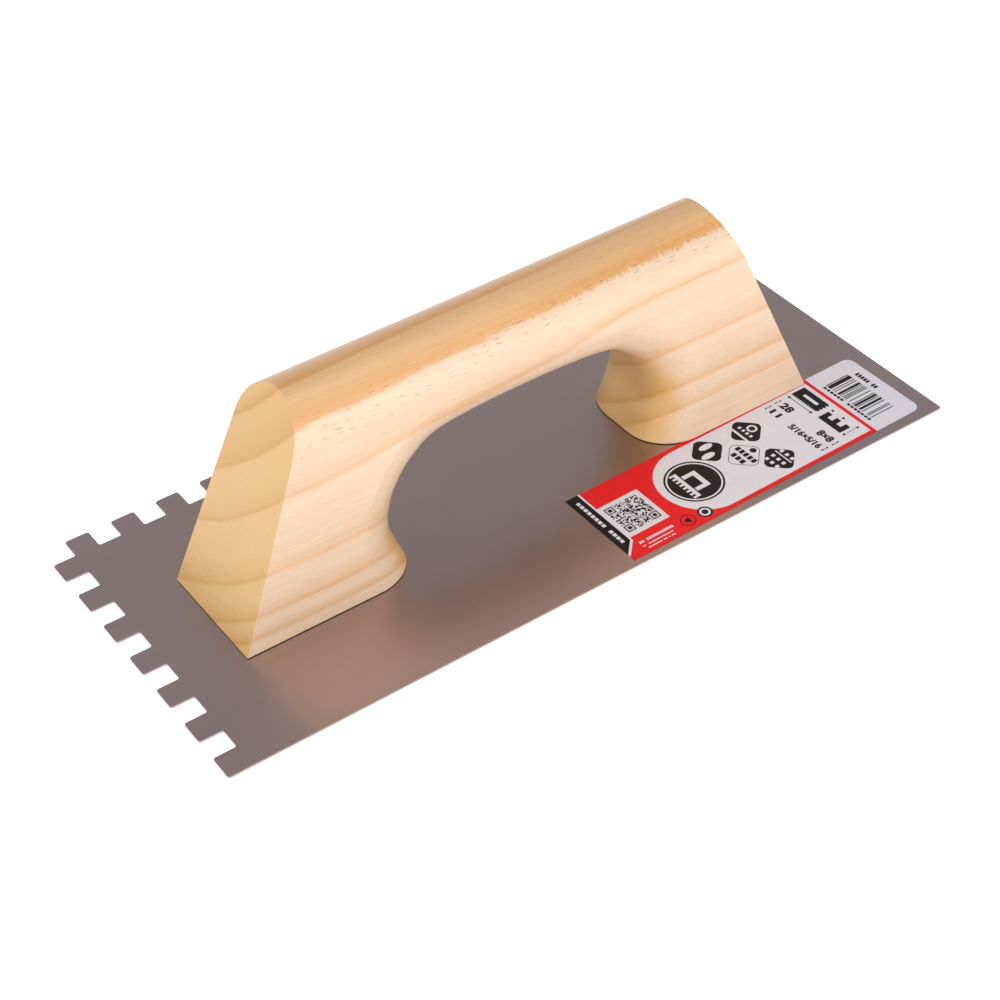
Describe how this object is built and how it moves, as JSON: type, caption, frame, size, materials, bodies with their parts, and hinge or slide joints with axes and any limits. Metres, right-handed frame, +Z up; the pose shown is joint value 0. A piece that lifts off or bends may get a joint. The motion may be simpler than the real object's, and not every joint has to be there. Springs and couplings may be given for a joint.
{
  "type": "notched trowel",
  "caption": "Adhesive-spreading trowel: thin steel blade square-notched along one long and one short edge, screwed under a one-piece wooden bridge handle, with a label on the blade.",
  "frame": {"origin": "middle of the blade's flat underside, which is the bottom centre of the whole tool's box", "axes": "+X along the blade away from its notched short edge, +Y towards its notched long edge, +Z up through the handle"},
  "size_m": [0.28, 0.12, 0.0761],
  "materials": {
    "blade_steel": "smooth cold-rolled carbon steel, satin, grey with a warm cast",
    "handle_wood": "pale softwood with soft amber growth bands, fine-sanded and clear-sealed to a satin",
    "label_paper": "coated paper printed in red, black and off-white, semi-gloss",
    "screw_steel": "bright zinc-plated steel"
  },
  "bodies": {
    "root": {"blade": "blade_steel", "handle": "handle_wood", "label": "label_paper", "screw_left_outer": "screw_steel", "screw_left_front": "screw_steel", "screw_left_back": "screw_steel", "screw_right_outer": "screw_steel", "screw_right_front": "screw_steel", "screw_right_back": "screw_steel"}
  },
  "joints": []
}
